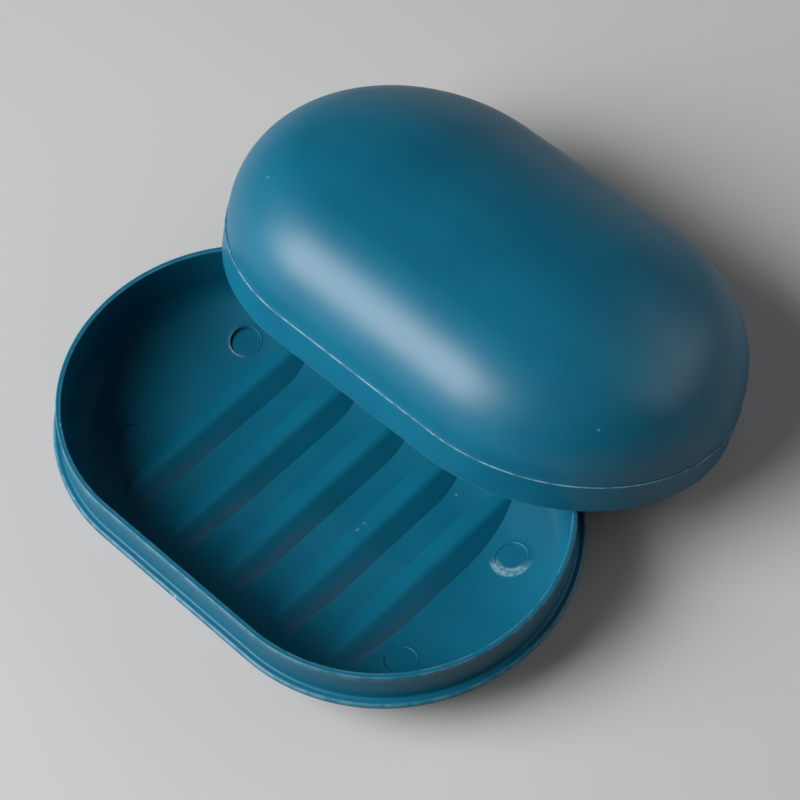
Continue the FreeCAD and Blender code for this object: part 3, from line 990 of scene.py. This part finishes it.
@dataclass
class Lid:
    """The domed lid, off the tray: skirt band, fine step line and pillow dome, leaning on the rim."""

    fit: Fit
    finish: SatinPlastic
    skirt_band: float = 6.9
    skirt_draft: float = 0.2
    dome_side: float = 2.5
    shoulder: float = 20.0
    crown: float = 73.0
    lean: float = 18.5475
    place: tuple[float, float, float] = (-0.8, 48.6, 12.3124)
    flash: float = 0.1
    step_root: float = 0.06
    step_edge: float = 0.05
    # Inset from the band, and drop below the step line, of the two points where the wear and painted highlight
    # there run out.
    wear_and_highlight_ends: tuple[Point, Point] = ((0.004, 0.16), (0.002, 0.3))
    # Weights of the pale edge mark on the lid: the step line and the band just below it are mostly a painted
    # highlight of light on the step; the lip is partly wear, partly painted highlight.
    line_wear_and_highlight: float = 0.9
    below_line_wear_and_highlight: float = 0.7
    lip_wear_and_highlight: float = 0.22

    def section(self) -> Section:
        """Return the section from the crown down the outside, round the lip and up the inside."""
        fit, edge = self.fit, self.fit.edge_round
        spring = self.skirt_band + self.dome_side
        across = fit.dome - self.shoulder
        drop = math.sqrt((self.crown - self.shoulder) ** 2 - across**2)
        joint = math.degrees(math.atan2(drop, across))
        foot = fit.band - self.skirt_draft
        section = Section()
        section.arc((0.0, spring - drop), self.crown, (90, joint), 16)
        section.arc((across, spring), self.shoulder, (joint, 0), 36)
        band, root, crisp = self.skirt_band, self.step_root, self.step_edge
        section.line((fit.dome, band + root), 3)
        section.arc((fit.dome + root, band + root), root, (180, 270), 3)
        # The step line is painted pale: mostly a painted highlight of light on the step.
        section.line((fit.band - crisp, band)).mark("flash", 1.0).mark("wear_and_highlight", self.line_wear_and_highlight)
        section.arc((fit.band - crisp, band - crisp), crisp, (90, 0), 3)
        section.mark("flash", 1.0, 2).mark("wear_and_highlight", self.line_wear_and_highlight, 3)
        first, last = ((fit.band - inset, band - drop) for inset, drop in self.wear_and_highlight_ends)
        section.line(first).mark("wear_and_highlight", self.below_line_wear_and_highlight)
        section.line(last)
        section.line((foot, edge), 5)
        section.arc((foot - edge, edge), edge, (0, -90), 7).mark("wear_and_highlight", self.lip_wear_and_highlight, 7)
        section.arc((fit.mouth + edge, edge), edge, (270, 180), 7)
        section.line((fit.mouth, spring), 4)
        section.arc((across, spring), self.shoulder - fit.lid_wall, (0, joint), 18)
        section.arc((0.0, spring - drop), self.crown - fit.lid_wall, (joint, 90), 8)
        return section

    def build(self, sweep: ShapeRule) -> bpy.types.Object:
        """Build the lid and put it in place of its CAD node.

        Args:
            sweep: The rule that carries the section round.

        Returns:
            The lid.
        """
        material = self.finish.build()
        shell = self.fit.sweep(sweep, self.section(), material, self.flash)
        place = Matrix.Translation(Vector(self.place) * MM) @ Matrix.Rotation(-math.radians(self.lean), 4, "X")
        lid = settle("lid_shell", [shell], material, place)
        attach(lid, "lid")
        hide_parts("lid")
        return lid


@dataclass(frozen=True)
class SoftBox:
    """A soft lamp that faces the soap box, with a grid that narrows its light.

    Azimuth runs from +X towards +Y, spread is the width and height as seen from the soap box, and beam is how
    wide the grid lets the light go, all in degrees. Distance is in metres and power in watts.
    """

    name: str
    azimuth: float
    elevation: float
    distance: float
    spread: Point
    power: float
    beam: float = 180.0

    def add(self, aim: Vector) -> None:
        """Add the lamp, facing a point in metres."""
        light = bpy.data.lights.new(self.name, "AREA")
        light.shape = "RECTANGLE"
        wide, high = (math.tan(math.radians(angle / 2)) for angle in self.spread)
        light.size, light.size_y = 2 * self.distance * wide, 2 * self.distance * high
        light.energy = self.power
        light.spread = math.radians(self.beam)
        lamp = bpy.data.objects.new(self.name, light)
        turn, lift = math.radians(self.azimuth), math.radians(self.elevation)
        out = Vector((math.cos(turn) * math.cos(lift), math.sin(turn) * math.cos(lift), math.sin(lift)))
        lamp.location = aim + out * self.distance
        lamp.rotation_mode = "QUATERNION"
        lamp.rotation_quaternion = out.to_track_quat("Z", "Y")
        bpy.context.scene.collection.objects.link(lamp)


@dataclass
class Studio:
    """Pale floor, soft lamps and the camera at the photograph's viewing angle."""

    azimuth: float = 47.984
    elevation: float = 55.717
    roll: float = -4.939
    distance: float = 517.144
    aim: tuple[float, float, float] = (0.985, 23.891, 12.0)
    focal_pixels: float = 2519.63
    image_pixels: int = 800
    pale: float = 0.48
    bounce: float = 0.08
    ambient: float = 0.035
    backdrop: float = 0.5
    backdrop_edge: Point = (0.2, 0.5)
    floor_reach: float = 3.0
    lamps: Sequence[SoftBox] = (
        SoftBox("key", 240.0, 36.5, 0.8, (44.0, 40.0), 3.75, beam=90.0),
        SoftBox("reflector", 54.0, 27.0, 0.9, (56.0, 28.0), 2.1))

    def camera(self) -> None:
        """Place the camera."""
        turn, lift, roll = (math.radians(angle) for angle in (self.azimuth, self.elevation, self.roll))
        back = Vector((math.sin(turn) * math.cos(lift), -math.cos(turn) * math.cos(lift), math.sin(lift)))
        right = Vector((math.cos(turn), math.sin(turn), 0.0))
        up = back.cross(right)
        level = right * math.cos(roll) + up * math.sin(roll)
        upright = up * math.cos(roll) - right * math.sin(roll)
        lens = bpy.data.cameras.new("camera")
        lens.sensor_width = 36.0
        lens.lens = lens.sensor_width * self.focal_pixels / self.image_pixels
        lens.clip_start, lens.clip_end = 0.01, 20.0
        camera = bpy.data.objects.new("camera", lens)
        place = Matrix((level, upright, back)).transposed().to_4x4()
        place.translation = (Vector(self.aim) + back * self.distance) * MM
        camera.matrix_world = place
        bpy.context.scene.collection.objects.link(camera)
        bpy.context.scene.camera = camera

    def floor(self) -> None:
        """Lay the floor: pale to the eye and in gloss, darker in the light that it sends back, even far off."""
        mesh = bpy.data.meshes.new("floor")
        far = self.floor_reach
        mesh.from_pydata([(-far, -far, 0), (far, -far, 0), (far, far, 0), (-far, far, 0)], [], [(0, 1, 2, 3)])
        material = bpy.data.materials.new("pale_floor")
        material.use_nodes = True
        material.node_tree.nodes.clear()
        graph = Graph(material.node_tree)
        path = graph.node("ShaderNodeLightPath").outputs
        seen = Value(graph, path["Is Camera Ray"]).at_least(Value(graph, path["Is Glossy Ray"]))
        seen = seen.at_least(Value(graph, path["Is Transmission Ray"]))
        tone = graph.mix(seen, (*[self.bounce] * 3, 1.0), (*[self.pale] * 3, 1.0))
        lit = graph.node("ShaderNodeBsdfPrincipled", inputs={
            "Base Color": tone, "Roughness": 0.95, "Specular IOR Level": 0.1})
        x, y, _ = graph.split(graph.node("ShaderNodeTexCoord").outputs["Object"])
        beyond = (x * x + y * y).root().rise(*self.backdrop_edge)
        backdrop = graph.node("ShaderNodeEmission", inputs={"Strength": self.backdrop})
        both = graph.node("ShaderNodeMixShader", inputs={
            0: beyond * seen, 1: lit.outputs[0], 2: backdrop.outputs[0]})
        graph.node("ShaderNodeOutputMaterial", inputs={"Surface": both.outputs[0]})
        mesh.materials.append(material)
        floor = bpy.data.objects.new("floor", mesh)
        bpy.context.scene.collection.objects.link(floor)

    def light(self) -> None:
        """Set the lamps and the world."""
        world = bpy.data.worlds.new("studio")
        world.use_nodes = True
        background = world.node_tree.nodes["Background"]
        background.inputs["Color"].default_value = (1.0, 1.0, 1.0, 1.0)
        background.inputs["Strength"].default_value = self.ambient
        bpy.context.scene.world = world
        for lamp in self.lamps:
            lamp.add(Vector(self.aim) * MM)


def main() -> None:
    """Build the pieces in order, light them and report what was made."""
    logging.basicConfig(level=logging.INFO, format="%(message)s")
    low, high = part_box("base_tray")
    fit = Fit(length=(high.x - low.x) / MM, width=(high.y - low.y) / MM)
    sweep, ribs = sweep_rule(), rib_rule()
    satin = ScuffedSatin("tray_satin", rib_pitch=BaseTray.rib_pitch, rib_half=BaseTray.rib_width / 2)
    tray = BaseTray(fit, satin, rim_top=high.z / MM).build(sweep, ribs)
    lid = Lid(fit, SatinPlastic("lid_satin")).build(sweep)
    for piece in (tray, lid):
        LOG.info("made %s", piece.name)
    studio = Studio()
    studio.floor()
    studio.light()
    studio.camera()
    bpy.context.scene.view_settings.view_transform = "Standard"


if __name__ == "__main__":
    main()
